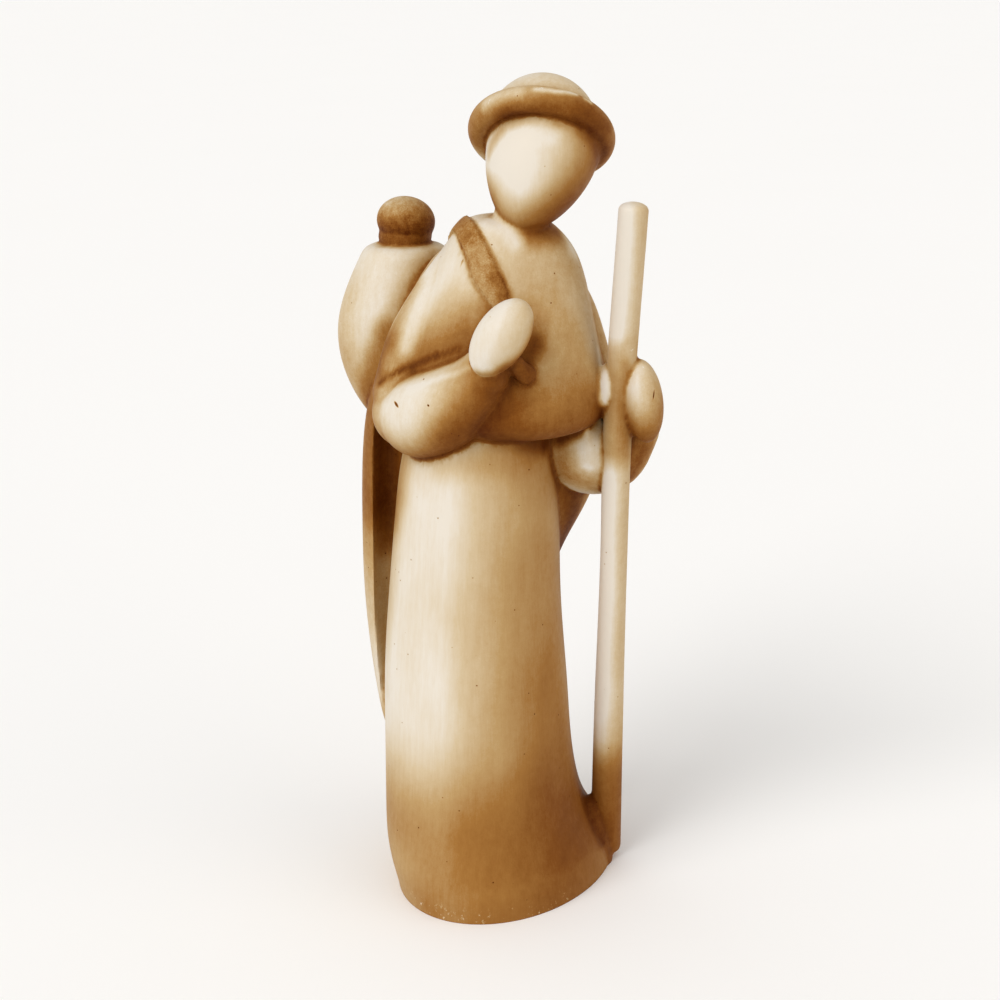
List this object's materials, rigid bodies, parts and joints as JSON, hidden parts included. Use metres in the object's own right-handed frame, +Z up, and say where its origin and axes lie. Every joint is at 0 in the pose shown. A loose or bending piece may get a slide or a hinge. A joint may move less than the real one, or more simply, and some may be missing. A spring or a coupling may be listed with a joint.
{
  "type": "nativity shepherd figurine",
  "caption": "Standing shepherd carved from solid wood, in robe, cape and rolled-brim hat, with a tied sack on the back and a tall staff fused to sleeve and hem.",
  "frame": {"origin": "centre of the robe's flat underside, on the surface that the figure stands on", "axes": "+Z up through the figure, -Y the way the front faces, +X towards the figure's left hand, which holds the staff"},
  "size_m": [0.0514, 0.0522, 0.1502],
  "materials": {
    "stained_wood": "sanded pale wood with brown stain rubbed into the hollows and wiped off the high places, satin"
  },
  "bodies": {
    "root": {"shepherd": "stained_wood"}
  },
  "joints": []
}
